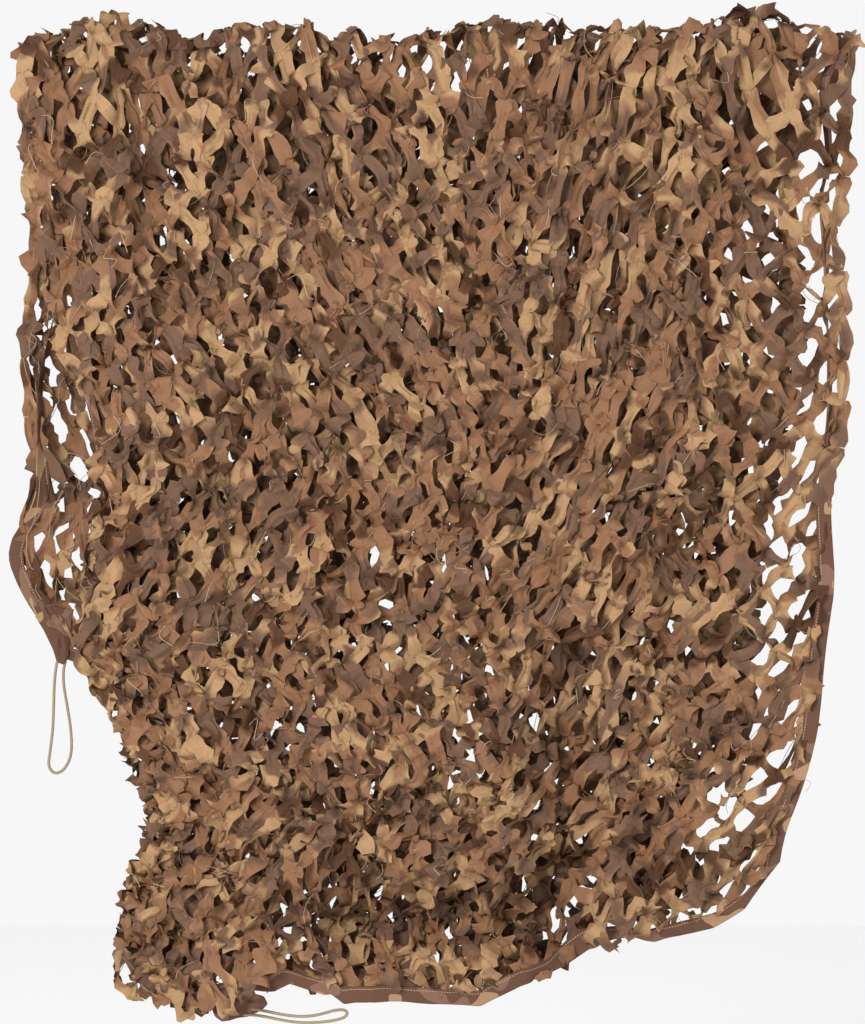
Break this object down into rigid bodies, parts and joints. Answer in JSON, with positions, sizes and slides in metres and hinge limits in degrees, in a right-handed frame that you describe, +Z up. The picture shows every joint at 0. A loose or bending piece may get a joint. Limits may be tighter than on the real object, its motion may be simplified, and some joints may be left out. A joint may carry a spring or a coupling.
{
  "type": "camouflage net",
  "caption": "Leaf-cut camouflage net hung over a level line, with a long front fall, a shorter back fall, bound edges and corner cord loops.",
  "frame": {"origin": "middle of the fold over the line that the net hangs from", "axes": "+X to the right as seen from the front, +Y away from the front towards the back fall, +Z up"},
  "size_m": [1.2787, 0.2145, 1.5087],
  "materials": {
    "cloth": "matte printed leaf-cut cloth in tan, rose brown, grey brown and dark brown",
    "tape": "matte printed cloth tape, folded and sewn",
    "cord": "braided tan cord",
    "string": "thin twisted tan string"
  },
  "bodies": {
    "root": {"leaf_cloth": "cloth", "left_edge_tape": "tape", "right_edge_tape": "tape", "front_hem_tape": "tape", "back_hem_tape": "tape", "back_corner_loop": "cord", "front_corner_loop": "cord"}
  },
  "joints": []
}
